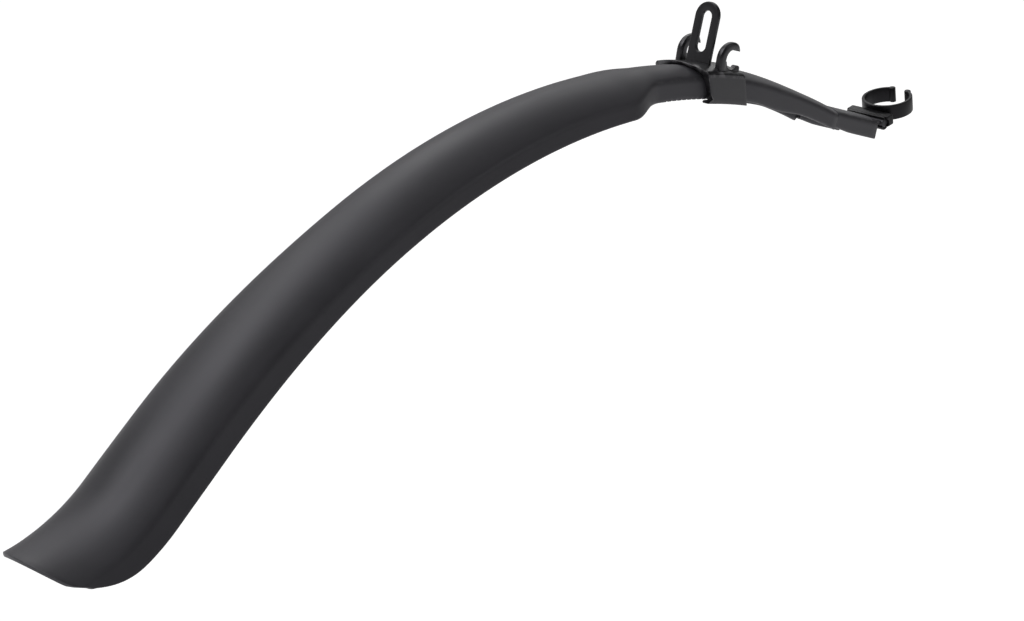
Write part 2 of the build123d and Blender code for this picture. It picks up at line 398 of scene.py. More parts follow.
@dataclass(frozen=True)
class Section:
    """Cross-section of a moulded channel: an arched top, a rounded crease on each side and a side flange."""

    half_width: float
    arch: float
    splay: float
    flange: float
    crease: float

    def mixed(self, other: "Section", share: float) -> "Section":
        """Gives the section between this one and another.

        Args:
            other: Section at share 1.
            share: How far to go towards it.

        Returns:
            The section in between.
        """
        pairs = zip(vars(self).values(), vars(other).values())
        return Section(*(mine + (theirs - mine) * share for mine, theirs in pairs))

    @property
    def depth(self) -> float:
        """Drop from the top to the foot."""
        return self.arch + self.flange

    @property
    def arch_radius(self) -> float:
        """Radius of the arched top."""
        return (self.half_width**2 + self.arch**2) / (2 * self.arch)

    @property
    def lean(self) -> float:
        """Angle of the flange's outward normal from straight up."""
        return atan2(self.flange, self.splay)

    def crease_centre(self) -> Point:
        """Gives the centre of the right crease, as distance from the middle and depth.

        Returns:
            The centre.
        """
        length = hypot(self.splay, self.flange)
        along = Vector((self.splay, self.flange)) / length
        inward = Vector((-self.flange, self.splay)) / length
        start = Vector((self.half_width, self.arch - self.arch_radius)) + inward * self.crease
        fall = start.dot(along)
        reach = -fall - sqrt(fall**2 - start.length_squared + (self.arch_radius - self.crease) ** 2)
        centre = start + along * reach
        return centre.x, centre.y + self.arch_radius

    def side_point(self, inset: float, depth: float) -> Point:
        """Finds the point of the right crease or flange at a depth.

        Args:
            inset: How far the outline is moved inwards.
            depth: Depth below the top.

        Returns:
            Distance from the middle, and depth.
        """
        across, down = self.crease_centre()
        radius = self.crease - inset
        turn_start = atan2(across, self.arch_radius - down)
        if depth >= down - radius * cos(self.lean):
            foot_across = self.half_width + self.splay - inset * sin(self.lean)
            foot_depth = self.depth + inset * cos(self.lean)
            return foot_across - (foot_depth - depth) * self.splay / self.flange, depth
        turn = max(self.crease_turn(down - depth, radius), turn_start)
        return across + radius * sin(turn), down - radius * cos(turn)

    @staticmethod
    def crease_turn(rise: float, radius: float) -> float:
        """Gives the angle from straight up at which an arc of the radius has a rise above its centre."""
        return pi / 2 - asin(min(max(rise / radius, -1.0), 1.0))

    def half_outline(self, inset: float, foot: float, rounding: float, inner: bool) -> list[Point]:
        """Draws the right half of one wall, from the middle of the top to the foot.

        Args:
            inset: How far the wall is moved inwards.
            foot: Depth of the foot.
            rounding: Radius of the foot's edge.
            inner: Whether this is the inner wall, whose foot is rounded outwards.

        Returns:
            Points as distance from the middle and depth.
        """
        across, down = self.crease_centre()
        radius = self.arch_radius - inset
        arch_turn = atan2(across, self.arch_radius - down)
        points = []
        for step in range(ARCH_STEPS + 1):
            turn = arch_turn * step / ARCH_STEPS
            points.append((radius * sin(turn), self.arch_radius - radius * cos(turn)))
        start = points[-1][1]
        lower = foot - rounding
        shares = [(i / TRAIL_STEPS) ** TRAIL_POWER for i in range(TRAIL_STEPS + 1)]
        trail = [self.side_point(inset, start + (lower - start) * share) for share in shares]
        points += even_steps(trail, SIDE_STEPS)[1:]
        for step in range(1, FOOT_STEPS + 1):
            turn = pi / 2 * step / FOOT_STEPS
            shift = rounding * (1 - cos(turn))
            moved = inset - shift if inner else inset + shift
            points.append(self.side_point(moved, lower + rounding * sin(turn)))
        return points

    def ring(self, wall: float, foot: float, rounding: float, skin: float = 0.0) -> list[Point]:
        """Draws the closed outline of the wall: outer side from right to left, then inner side back.

        Args:
            wall: Wall thickness.
            foot: Depth of the foot.
            rounding: Radius of the foot's edges.
            skin: How far the whole outline is shrunk.

        Returns:
            Points as distance to the left and depth.
        """
        edge = rounding - skin
        outer = self.half_outline(skin, foot - skin, edge, inner=False)
        inner = self.half_outline(wall - skin, foot - skin, edge, inner=True)
        return both_sides(outer) + both_sides(inner)[::-1]


def even_steps(trail: list[Point], count: int) -> list[Point]:
    """Walks along a trail of points in even steps.

    Args:
        trail: Closely spaced points.
        count: How many steps to take.

    Returns:
        The first point and the end of each step.
    """
    lengths = [0.0]
    for near, far in zip(trail, trail[1:]):
        lengths.append(lengths[-1] + hypot(far[0] - near[0], far[1] - near[1]))
    walked = []
    index = 0
    for step in range(count + 1):
        target = lengths[-1] * step / count
        while index < len(trail) - 2 and lengths[index + 1] < target:
            index += 1
        span = lengths[index + 1] - lengths[index]
        share = (target - lengths[index]) / span if span else 0.0
        near, far = trail[index], trail[index + 1]
        walked.append((near[0] + (far[0] - near[0]) * share, near[1] + (far[1] - near[1]) * share))
    return walked


def both_sides(half: list[Point]) -> list[Point]:
    """Mirrors a half outline that starts in the middle, and runs it from the right foot to the left one."""
    right = [(-across, depth) for across, depth in reversed(half)]
    return right + half[1:]


@dataclass
class Blade:
    """The long blade: a thin channel round the wheel with a flared tail, toothed neck and straight end."""

    crown_radius: float = 417.8 * MM
    slot_rise: float = 18.0 * MM
    front_turn: float = radians(15.9)
    tail_turn: float = radians(53.6)
    tail_straight: float = 38.5 * MM
    flare_length: float = 59.3 * MM
    flare_radius: float = 86.0 * MM
    wall: float = 2.0 * MM
    wide: Section = Section(25.3 * MM, 9.5 * MM, 1.9 * MM, 8.1 * MM, 3.0 * MM)
    tail: Section = Section(27.3 * MM, 9.0 * MM, 4.5 * MM, 8.6 * MM, 3.0 * MM)
    tail_rise: float = 8.5 * MM
    neck: Section = Section(14.8 * MM, 4.8 * MM, 0.5 * MM, 10.7 * MM, 3.0 * MM)
    extension: Section = Section(14.4 * MM, 4.0 * MM, 0.4 * MM, 8.6 * MM, 2.8 * MM)
    nose: Section = Section(13.2 * MM, 2.2 * MM, 0.3 * MM, 9.8 * MM, 2.8 * MM)
    flatten_turn: float = radians(34.0)
    wide_turn: float = radians(11.3)
    neck_turn: float = radians(6.7)
    neck_sink: float = 0.0 * MM
    shoulder_rise: float = 0.6 * MM
    front_sink: float = 2.9 * MM
    taper_start: float = 14.0 * MM
    taper_end: float = 95.0 * MM
    belly: float = 1.8 * MM
    belly_middle: float = -372.0 * MM
    belly_reach: float = 120.0 * MM
    keel: float = 1.7 * MM
    keel_middle: float = 58.0 * MM
    keel_reach: float = 27.0 * MM
    corner_start: float = 18.9 * MM
    corner_end: float = 40.5 * MM
    corner_depth: float = 11.7 * MM
    corner_slope: float = 0.7
    tail_bulge: float = 13.3 * MM
    tail_rake: float = 5.0 * MM
    bulge_fade: float = 60.0 * MM
    tooth_pitch: float = 4.0 * MM
    tooth_depth: float = 1.0 * MM
    tooth_front: float = radians(2.4)
    nose_sink: float = 0.2 * MM
    groove: float = 1.1 * MM
    groove_depth: float = 0.65 * MM
    nose_slope: float = radians(7.195)
    nose_length: float = 41.0 * MM
    nose_cut: float = 1.2 * MM
    pin_reach: float = 6.468 * MM
    pin_radius: float = 2.3 * MM
    pin_length: float = 26.0 * MM
    web_inset: float = 0.8
    rim: float = 0.5 * MM
    foot_rounding: float = 0.7 * MM
    step_rim: float = 0.3 * MM
    tail_step: float = 3.0 * MM
    arch_step: float = 5.0 * MM
    bend_step: float = 2.0 * MM

    @property
    def axle_z(self) -> float:
        """Height of the wheel axle."""
        return -self.crown_radius - self.slot_rise

    @property
    def round_length(self) -> float:
        """Length of the round stretch behind the tab, along the crown line."""
        return self.tail_turn * self.crown_radius

    @property
    def back_length(self) -> float:
        """Length of the whole blade behind the tab, along the crown line."""
        return self.round_length + self.tail_straight + self.flare_length

    def line_at(self, along: float) -> tuple[Vector, Vector]:
        """Finds the crown line in the middle plane.

        Args:
            along: Distance ahead of the tab, along the line.

        Returns:
            A point of the line, and the direction away from the wheel.
        """
        past = max(-along - self.round_length, 0.0)
        turn = max(along / self.crown_radius, -self.tail_turn)
        up = Vector((sin(turn), 0, cos(turn)))
        point = Vector((0, 0, self.axle_z)) + up * self.crown_radius
        backward = Vector((-up.z, 0, up.x))
        if past > self.tail_straight:
            centre = point + backward * self.tail_straight + up * self.flare_radius
            turn += (past - self.tail_straight) / self.flare_radius
            up = Vector((sin(turn), 0, cos(turn)))
            return centre - up * self.flare_radius, up
        return point + backward * past, up

    def shape_at(self, along: float) -> tuple[Section, float]:
        """Gives the blade's section and how far its top lies below the crown line.

        Args:
            along: Distance ahead of the tab, along the crown line.

        Returns:
            The section and the sink.
        """
        flat_start = self.flatten_turn * self.crown_radius
        flatness = ease(-along, flat_start, self.back_length - self.tail_bulge)
        shape = self.wide.mixed(self.tail, flatness)
        radius = self.crown_radius
        narrowing = ease(along, -self.wide_turn * radius, -self.neck_turn * radius)
        shape = shape.mixed(self.neck, narrowing)
        taper = ease(along, self.taper_start, self.taper_end)
        sink = self.neck_sink * narrowing + (self.front_sink - self.neck_sink) * taper
        sink -= self.tail_rise * flatness
        sink -= self.shoulder_rise * 4 * narrowing * (1 - narrowing)
        belly = self.belly * (1 - ease(abs(along - self.belly_middle), 0.0, self.belly_reach))
        shape = shape.mixed(self.extension, taper)
        keel = self.keel * (1 - ease(abs(along - self.keel_middle), 0.0, self.keel_reach))
        return replace(shape, flange=shape.flange + belly + keel), sink

    def bulge_at(self, along: float, across: float) -> float:
        """Gives how far a point near the tail is drawn forward, so that the tail's end edge is bowed.

        Args:
            along: Distance ahead of the tab, along the crown line.
            across: Distance to the left.

        Returns:
            Distance forward.
        """
        fade = max(1 - (along + self.back_length) / self.bulge_fade, 0.0)
        share = abs(across) / (self.tail.half_width + self.tail.splay)
        return fade**2 * self.tail_bulge * share**2

    def rake_at(self, along: float, depth: float) -> float:
        """Gives how far a point of the tail's flange is drawn forward, so that it ends at a slant."""
        fade = max(1 - (along + self.back_length) / self.bulge_fade, 0.0)
        return fade**2 * self.tail_rake * ease(depth, self.tail.arch - self.wall, self.corner_depth)

    def foot_at(self, along: float, shape: Section) -> float:
        """Gives the depth of the flange's foot, which rises in a round corner at the tail.

        Args:
            along: Distance ahead of the tab, along the crown line.
            shape: Section there.

        Returns:
            Depth of the foot below the section's top.
        """
        edge = shape.half_width + shape.splay
        drawn = self.bulge_at(along, edge) + self.rake_at(along, self.corner_depth)
        from_end = along + self.back_length + drawn
        length = self.corner_end - self.corner_start
        share = min(max((from_end - self.corner_start) / length, 0.0), 1.0)
        rise = (shape.depth - self.corner_depth) * share * share * (3 - 2 * share)
        set_off = self.corner_slope * length * share * (1 - share) ** 2
        return self.corner_depth + rise + set_off

    def blade_stops(self) -> list[tuple[float, float, float]]:
        """Lists the sections from the tail to the step, as place along the line, skin and notch depth.

        Returns:
            The sections in order.
        """
        stops = [(inset - self.back_length, skin, 0.0) for inset, skin in rim_stops(self.rim, RIM_STEPS)]
        radius = self.crown_radius
        knees = [
            (-self.round_length - self.tail_straight, self.tail_step),
            (-self.wide_turn * radius, self.arch_step),
            (-self.neck_turn * radius, self.bend_step),
        ]
        here = stops[-1][0]
        for knee, step in knees:
            count = round((knee - here) / step)
            stops += [(here + (knee - here) * (i + 1) / count, 0.0, 0.0) for i in range(count)]
            here = knee
        pitch = self.tooth_pitch * radius / (radius - self.neck_sink - self.neck.depth)
        teeth_end = self.tooth_front * radius
        tooth_count = int((teeth_end - here) / pitch)
        for i in reversed(range(tooth_count)):
            middle = teeth_end - (i + 0.5) * pitch
            stops.append((middle - pitch / 4, 0.0, 0.0))
            stops.append((middle, 0.0, self.tooth_depth))
            stops.append((middle + pitch / 4, 0.0, 0.0))
        front = self.front_turn * radius
        length = front - self.step_rim - teeth_end
        count = round(length / self.arch_step)
        stops += [(teeth_end + length * (i + 1) / count, 0.0, 0.0) for i in range(count)]
        rim = rim_stops(self.step_rim, STEP_RIM_STEPS)[:-1]
        return stops + [(front - inset, skin, 0.0) for inset, skin in reversed(rim)]

    def blade_ring(self, along: float, skin: float, notch: float) -> list[Vector]:
        """Places one section of the blade.

        Args:
            along: Distance ahead of the tab, along the crown line.
            skin: How far the outline is shrunk.
            notch: How far the foot is raised, between two teeth.

        Returns:
            Places of the ring's vertices.
        """
        shape, sink = self.shape_at(along)
        foot = self.foot_at(along, shape) - notch
        places = []
        for across, depth in shape.ring(self.wall, foot, self.foot_rounding, skin):
            point, up = self.line_at(along + self.bulge_at(along, across) + self.rake_at(along, depth))
            places.append(point - up * (sink + depth) + Vector((0, across, 0)))
        return places

    @property
    def nose_up(self) -> Vector:
        """Direction across the straight end, away from the wheel."""
        return Vector((sin(self.nose_slope), 0, cos(self.nose_slope)))

    @property
    def nose_ahead(self) -> Vector:
        """Direction of the straight end."""
        return Vector((cos(self.nose_slope), 0, -sin(self.nose_slope)))

    @property
    def nose_start(self) -> Vector:
        """Middle of the straight end's top, at the step."""
        point, up = self.line_at(self.front_turn * self.crown_radius)
        return point - up * self.front_sink - self.nose_up * self.nose_sink

    @property
    def pin_centre(self) -> Vector:
        """Middle of the hinge pin."""
        drop = self.wall / 2 + self.nose.arch / 2
        return self.nose_start + self.nose_ahead * (self.nose_length + self.pin_reach) - self.nose_up * drop

    def nose_rings(self) -> list[list[Vector]]:
        """Places the sections of the straight end, from the step to its front edge.

        Returns:
            The rings in order.
        """
        kick = self.nose_slope - self.front_turn
        rings = []
        groove_end = self.groove / self.nose_length
        stops = [(0.0, self.groove_depth), (groove_end, self.groove_depth), (groove_end * GROOVE_FADE, 0.0)]
        stops += [(i / NOSE_STEPS, 0.0) for i in range(1, NOSE_STEPS)]
        rim = rim_stops(self.rim, RIM_STEPS)
        stops += [(1 - inset / self.nose_length, skin) for inset, skin in reversed(rim)]
        for share, skin in stops:
            places = []
            foot = self.nose.depth - self.nose_cut * (1 - ease(share, 0.0, CUT_FADE))
            for across, depth in self.nose.ring(self.wall, foot, self.foot_rounding, skin):
                start = depth * sin(kick) / cos(kick)
                ahead = start + (self.nose_length - start) * share
                place = self.nose_start + self.nose_ahead * ahead - self.nose_up * depth
                places.append(place + Vector((0, across, 0)))
            rings.append(places)
        return rings

    def web(self) -> bpy.types.Object:
        """Makes the flat web that carries the pin, from inside the straight end to the pin's middle.

        Returns:
            The web.
        """
        beside = Vector((0, self.nose.half_width - self.web_inset * self.wall, 0))
        lift = self.nose_up * self.wall / 2
        reach = self.pin_reach + 2 * self.wall
        stops = [self.pin_centre - self.nose_ahead * reach * share for share in (1.0, 0.5, 0.0)]
        return sweep("pin_web", [bar_ring(stop, lift, beside, self.rim) for stop in stops])

    def pin(self) -> bpy.types.Object:
        """Turns the hinge pin, with rounded ends.

        Returns:
            The pin.
        """
        half = self.pin_length / 2
        ends = [(half - inset, skin) for inset, skin in reversed(rim_stops(self.rim, RIM_STEPS))]
        stops = [(-along, skin) for along, skin in reversed(ends)] + ends
        middle = self.pin_centre
        rings = [circle(middle + Vector((0, along, 0)), self.pin_radius - skin) for along, skin in stops]
        return sweep("hinge_pin", rings)

    def build(self) -> bpy.types.Object:
        """Lofts the blade from its tail to its front edge and adds the hinge pin on its web.

        Returns:
            The blade.
        """
        rings = [self.blade_ring(*stop) for stop in self.blade_stops()]
        shell = sweep("blade_shell", rings + self.nose_rings(), Ends.WALL)
        combine(shell, self.web(), Join.UNION)
        combine(shell, self.pin(), Join.UNION)
        return shell


@dataclass
class Bracket:
    """The bracket that slides on the neck: a saddle with lips, a slotted tab and two hooks with jaws."""

    blade: Blade
    gap: float = 0.3 * MM
    top_wall: float = 1.6 * MM
    lip: float = 1.6 * MM
    lip_reach: float = 4.2 * MM
    half_width: float = 18.2 * MM
    arch: float = 3.0 * MM
    splay: float = 0.3 * MM
    crease: float = 1.6 * MM
    rear: float = -15.4 * MM
    front: float = 16.0 * MM
    rear_slant: float = 8.0 * MM
    front_slant: float = 5.6 * MM
    rim: float = 0.35 * MM
    tongue: float = 4.0 * MM
    foot_rounding: float = 0.5 * MM
    tab_width: float = 15.6 * MM
    tab_thickness: float = 2.3 * MM
    tab_rise: float = 15.6 * MM
    tab_root: float = -22.0 * MM
    tab_lean: float = 0.077
    tab_back: float = 0.6 * MM
    slot_width: float = 6.4 * MM
    slot_length: float = 21.7 * MM
    hook_side: float = 13.45 * MM
    hook_thickness: float = 4.2 * MM
    hook_rounding: float = 1.3 * MM
    seat_radius: float = 5.1 * MM
    seat_x: float = 7.5 * MM
    seat_z: float = -12.5 * MM
    stem: float = 5.0 * MM
    crown: float = 4.2 * MM
    tip_ahead: float = 5.9 * MM
    tip_drop: float = 0.6 * MM
    jaw_front: float = 6.2 * MM
    jaw_z: float = -15.3 * MM
    hook_root: float = -21.8 * MM
    jaw_inset: float = 0.12 * MM
    jaw_rounding: float = 0.7 * MM

    @property
    def outer(self) -> Section:
        """Outside section of the saddle."""
        neck = self.blade.neck
        depth = self.top_wall + neck.depth + 2 * self.gap + self.lip
        return Section(self.half_width, self.arch, self.splay, depth - self.arch, self.crease)

    @property
    def top_radius(self) -> float:
        """Radius of the saddle's top about the wheel axle."""
        return self.blade.crown_radius - self.blade.neck_sink + self.gap + self.top_wall

    def saddle_profile(self) -> list[Point]:
        """Draws the saddle's C-shaped section, as distance to the left and depth.

        Returns:
            Points round the section.
        """
        outer = self.outer
        small = self.foot_rounding
        half = outer.half_outline(0.0, outer.depth, small, inner=False)
        mouth = self.half_width + self.splay - self.lip_reach
        lip_top = outer.depth - self.lip
        for level, sign in ((outer.depth - small, 1), (lip_top + small, -1)):
            for step in range(FOOT_STEPS + 1):
                turn = pi / 2 * (step / FOOT_STEPS if sign > 0 else 1 - step / FOOT_STEPS)
                half.append((mouth + small * (1 - sin(turn)), level + sign * small * cos(turn)))
        drop = self.gap + self.top_wall
        bore = self.blade.neck.half_outline(-self.gap, lip_top - drop, self.gap, inner=False)
        return both_sides(half) + both_sides([(across, depth + drop) for across, depth in bore])[::-1]

    def end_at(self, radius: float, start: float, slant: float) -> float:
        """Finds where a slanted end meets a line of the saddle.

        Args:
            radius: The line's radius about the axle.
            start: End's place at the shoulder.
            slant: How far forward it has come at the foot.

        Returns:
            Place along X.
        """
        axle = self.blade.axle_z
        shoulder = axle + self.top_radius - self.arch
        place = start
        for _ in range(END_ROUNDS):
            level = axle + sqrt(radius**2 - place**2)
            place = start + slant * (shoulder - level) / self.outer.flange
        return place

    def saddle(self) -> bpy.types.Object:
        """Lofts the saddle between its slanted ends and rounds their rims.

        Returns:
            The saddle.
        """
        profile = self.saddle_profile()
        tongue_depths = [self.outer.depth - share * self.lip for share in (TONGUE_RISE, TONGUE_FULL)]
        rings = []
        for step in range(SADDLE_STEPS + 1):
            ring = []
            for across, depth in profile:
                radius = self.top_radius - depth
                rear = self.end_at(radius, self.rear, self.rear_slant)
                rear -= self.tongue * ease(depth, *tongue_depths)
                front = self.end_at(radius, self.front, self.front_slant)
                x = rear + (front - rear) * step / SADDLE_STEPS
                ring.append(Vector((x, across, self.blade.axle_z + sqrt(radius**2 - x**2))))
            rings.append(ring)
        saddle = sweep("bracket_body", rings)
        round_ends(saddle, self.rim)
        return saddle

    def tab(self) -> bpy.types.Object:
        """Sweeps the tab's wall once round the bolt slot.

        Returns:
            The tab.
        """
        slot_radius = self.slot_width / 2
        slot_arc = self.slot_length / 2 - slot_radius
        tab_radius = self.tab_width / 2
        tab_arc = self.tab_rise - tab_radius
        pairs = []
        for step in range(TAB_STEPS + 1):
            turn = pi * step / TAB_STEPS
            way = Vector((0, cos(turn), sin(turn)))
            near = way * slot_radius + Vector((0, 0, slot_arc))
            pairs.append((near, way * tab_radius + Vector((0, 0, tab_arc))))
        for step in range(1, TAB_STEPS):
            level = slot_arc - 2 * slot_arc * step / TAB_STEPS
            pairs.append((Vector((0, -slot_radius, level)), Vector((0, -tab_radius, level))))
        for step in range(TAB_STEPS + 1):
            turn = pi + pi * step / TAB_STEPS
            way = Vector((0, cos(turn), sin(turn)))
            room = -self.tab_root - slot_arc
            reach = min(tab_radius / max(abs(way.y), TINY), room / max(abs(way.z), TINY))
            middle = Vector((0, 0, -slot_arc))
            pairs.append((middle + way * slot_radius, middle + way * reach))
        for step in range(1, TAB_STEPS):
            level = -slot_arc + 2 * slot_arc * step / TAB_STEPS
            pairs.append((Vector((0, slot_radius, level)), Vector((0, tab_radius, level))))
        beside = Vector((self.tab_thickness / 2, 0, 0))
        rings = []
        for near, far in pairs:
            rings.append(bar_ring((near + far) / 2, (far - near) / 2, beside, self.foot_rounding))
        for place in (place for ring in rings for place in ring):
            place.x += self.tab_lean * place.z - self.tab_back
        return sweep("bracket_tab", rings, Ends.LOOP)

    def hook(self) -> bpy.types.Object:
        """Sweeps the right hook from its root round the seat to its pointed tip.

        Returns:
            The hook.
        """
        side = -self.hook_side
        pairs = []
        inner_x = self.seat_x - self.seat_radius
        for step in range(STEM_STEPS):
            level = self.hook_root + (self.seat_z - self.hook_root) * step / STEM_STEPS
            pairs.append((Vector((inner_x - self.stem, side, level)), Vector((inner_x, side, level))))
        seat = Vector((self.seat_x, side, self.seat_z))
        for step in range(HOOK_STEPS):
            turn = pi - pi / 2 * step / HOOK_STEPS
            way = Vector((cos(turn), 0, sin(turn)))
            outer = Vector((way.x * self.stem, 0, way.z * self.crown)) + way * self.seat_radius
            pairs.append((seat + outer, seat + way * self.seat_radius))
        fall = self.crown + self.tip_drop
        bend = (self.tip_ahead**2 + fall**2) / (2 * fall)
        last = asin(self.tip_ahead / bend)
        top = seat + Vector((0, 0, self.seat_radius + self.crown))
        under = seat + Vector((0, 0, self.seat_radius))
        tip = under + Vector((self.tip_ahead, 0, -self.tip_drop))
        shares = [i / HOOK_STEPS * TIP_END for i in range(HOOK_STEPS + 1)]
        for share in shares:
            turn = last * share
            over = top + Vector((bend * sin(turn), 0, bend * (cos(turn) - 1)))
            pairs.append((over, under + (tip - under) * share))
        rings = []
        for far, near in pairs:
            slim = ease((far - near).length, 0.0, self.crown)
            beside = Vector((0, self.hook_thickness / 2 * (TIP_SLIM + (1 - TIP_SLIM) * slim), 0))
            rings.append(bar_ring((near + far) / 2, (far - near) / 2, beside, self.hook_rounding))
        return sweep("hook_right", rings)

    def jaw(self) -> bpy.types.Object:
        """Sweeps the right hook's lower jaw, hollowed to the seat and ending in a lip.

        Returns:
            The jaw.
        """
        side = -self.hook_side
        lip_turn = 2 * pi + asin((self.jaw_z - self.seat_z) / self.seat_radius)
        tops = [(self.seat_x - self.seat_radius - self.stem / 2, self.seat_z)]
        for step in range(1, HOOK_STEPS + 1):
            turn = pi + (lip_turn - pi) * step / HOOK_STEPS
            reach = self.seat_radius
            tops.append((self.seat_x + reach * cos(turn), self.seat_z + reach * sin(turn)))
        front = self.seat_x + self.jaw_front
        tops += [(front - self.jaw_rounding, self.jaw_z)]
        for turn in JAW_TURNS:
            shift = self.jaw_rounding
            tops.append((front - shift * (1 - sin(turn)), self.jaw_z - shift * (1 - cos(turn))))
        beside = Vector((0, self.hook_thickness / 2 - self.jaw_inset, 0))
        rings = []
        for place, level in tops:
            middle = Vector((place, side, (level + self.hook_root) / 2))
            lift = Vector((0, 0, (level - self.hook_root) / 2))
            rings.append(bar_ring(middle, beside, lift, self.jaw_rounding))
        return sweep("jaw_right", rings)

    def build(self) -> bpy.types.Object:
        """Joins the saddle, the tab and both hooks into one moulding.

        Returns:
            The bracket.
        """
        body = self.saddle()
        combine(body, self.tab(), Join.UNION)
        over = Vector((0, 2 * self.hook_side, 0))
        for part in (self.hook(), self.jaw()):
            combine(body, copied(part, part.name.replace("right", "left"), over), Join.UNION)
            combine(body, part, Join.UNION)
        return body


@dataclass
class Clip:
    """The seat tube clip: an open ring on a base bar, with a knuckle that turns on the blade's pin."""

    blade: Blade
    tilt: float = radians(21.5)
    tube_radius: float = 12.7 * MM
    ring_wall: float = 1.8 * MM
    height: float = 8.8 * MM
    top: float = 6.5 * MM
    bar_rear: float = 1.0 * MM
    bar_depth: float = 6.8 * MM
    bar_end: float = 5.5 * MM
    bar_top: float = 3.7 * MM
    bar_height: float = 6.0 * MM
    bar_length: float = 28.5 * MM
    knuckle_wall: float = 1.4 * MM
    pin_fit: float = 0.06 * MM
    bore_relief: float = 0.2 * MM
    swing: float = radians(25.0)
    tip_gap: float = 7.0 * MM
    bead: float = 1.9 * MM
    rim: float = 0.4 * MM

    @property
    def ahead(self) -> Vector:
        """Direction from the pin to the ring's centre."""
        return Vector((cos(self.tilt), 0, sin(self.tilt)))

    @property
    def up(self) -> Vector:
        """Direction of the tube."""
        return Vector((-sin(self.tilt), 0, cos(self.tilt)))

    def at(self, ahead: float, left: float, rise: float) -> Vector:
        """Gives a place from its distances ahead of the pin, to the left of it and above it."""
        return self.blade.pin_centre + self.ahead * ahead + Vector((0, left, 0)) + self.up * rise

    def ring(self) -> bpy.types.Object:
        """Sweeps the open ring from one thick tip round to the other.

        Returns:
            The ring.
        """
        middle = self.tube_radius + self.ring_wall / 2
        centre = self.bar_rear + self.bar_depth + self.tube_radius
        first = asin((self.tip_gap / 2 + self.bead) / middle)
        flat = asin(self.ring_wall / 2 / self.bead)
        stops = []
        for step in range(BEAD_STEPS + 1):
            turn = BEAD_START + (pi - flat - BEAD_START) * step / BEAD_STEPS
            stops.append((first - self.bead * cos(turn) / middle, self.bead * sin(turn)))
        bead_end = stops[-1][0]
        mirrored = [(2 * pi - turn, half) for turn, half in reversed(stops)]
        for step in range(1, RING_STEPS):
            stops.append((bead_end + (2 * pi - 2 * bead_end) * step / RING_STEPS, self.ring_wall / 2))
        stops += mirrored
        level = self.top - self.height / 2
        rings = []
        for turn, half in stops:
            way = self.ahead * cos(turn) + Vector((0, sin(turn), 0))
            place = self.at(centre, 0, level) + way * middle
            rings.append(bar_ring(place, way * half, self.up * self.height / 2, self.rim))
        return sweep("clip_body", rings)

    def bar(self) -> bpy.types.Object:
        """Sweeps the base bar from end to end, with rounded ends.

        Returns:
            The bar.
        """
        half = self.bar_length / 2
        ends = [(half - inset, skin) for inset, skin in rim_stops(self.rim, RIM_STEPS)]
        stops = [(-along, skin) for along, skin in ends] + [(0.0, 0.0)] + ends[::-1]
        rings = []
        for along, skin in stops:
            middle = self.at(self.bar_rear + self.bar_end / 2, along, self.bar_top - self.bar_height / 2)
            across = self.ahead * (self.bar_end / 2 - skin)
            rings.append(bar_ring(middle, across, self.up * (self.bar_height / 2 - skin), self.rim))
        return sweep("clip_bar", rings)

    def knuckle(self) -> bpy.types.Object:
        """Sweeps the knuckle round the pin, open towards the blade.

        Returns:
            The knuckle.
        """
        bore = self.blade.pin_radius + self.pin_fit
        mouth = pi - self.blade.nose_slope - self.tilt
        half_mouth = asin(self.blade.wall / 2 / self.blade.pin_radius) + self.swing
        beside = Vector((0, self.blade.pin_length / 2, 0))
        rings = []
        for step in range(RING_STEPS + 1):
            turn = mouth + half_mouth + 2 * (pi - half_mouth) * step / RING_STEPS
            way = self.ahead * cos(turn) + self.up * sin(turn)
            place = self.blade.pin_centre + way * (bore + self.knuckle_wall / 2)
            rings.append(bar_ring(place, way * self.knuckle_wall / 2, beside, self.rim))
        return sweep("clip_knuckle", rings)

    def bore(self) -> bpy.types.Object:
        """Makes the tool that clears the knuckle's way through the bar.

        Returns:
            The tool.
        """
        radius = self.blade.pin_radius + self.pin_fit + self.bore_relief
        reach = self.bar_length * BORE_REACH
        rings = [circle(self.at(0, side * reach, 0), radius) for side in (-1, 1)]
        return sweep("pin_way", rings)

    def build(self) -> bpy.types.Object:
        """Clears the pin's way through the bar, then joins the ring, the bar and the knuckle.

        Returns:
            The clip.
        """
        body = self.ring()
        bar = self.bar()
        combine(bar, self.bore(), Join.CUT)
        combine(body, bar, Join.UNION)
        combine(body, self.knuckle(), Join.UNION)
        return body


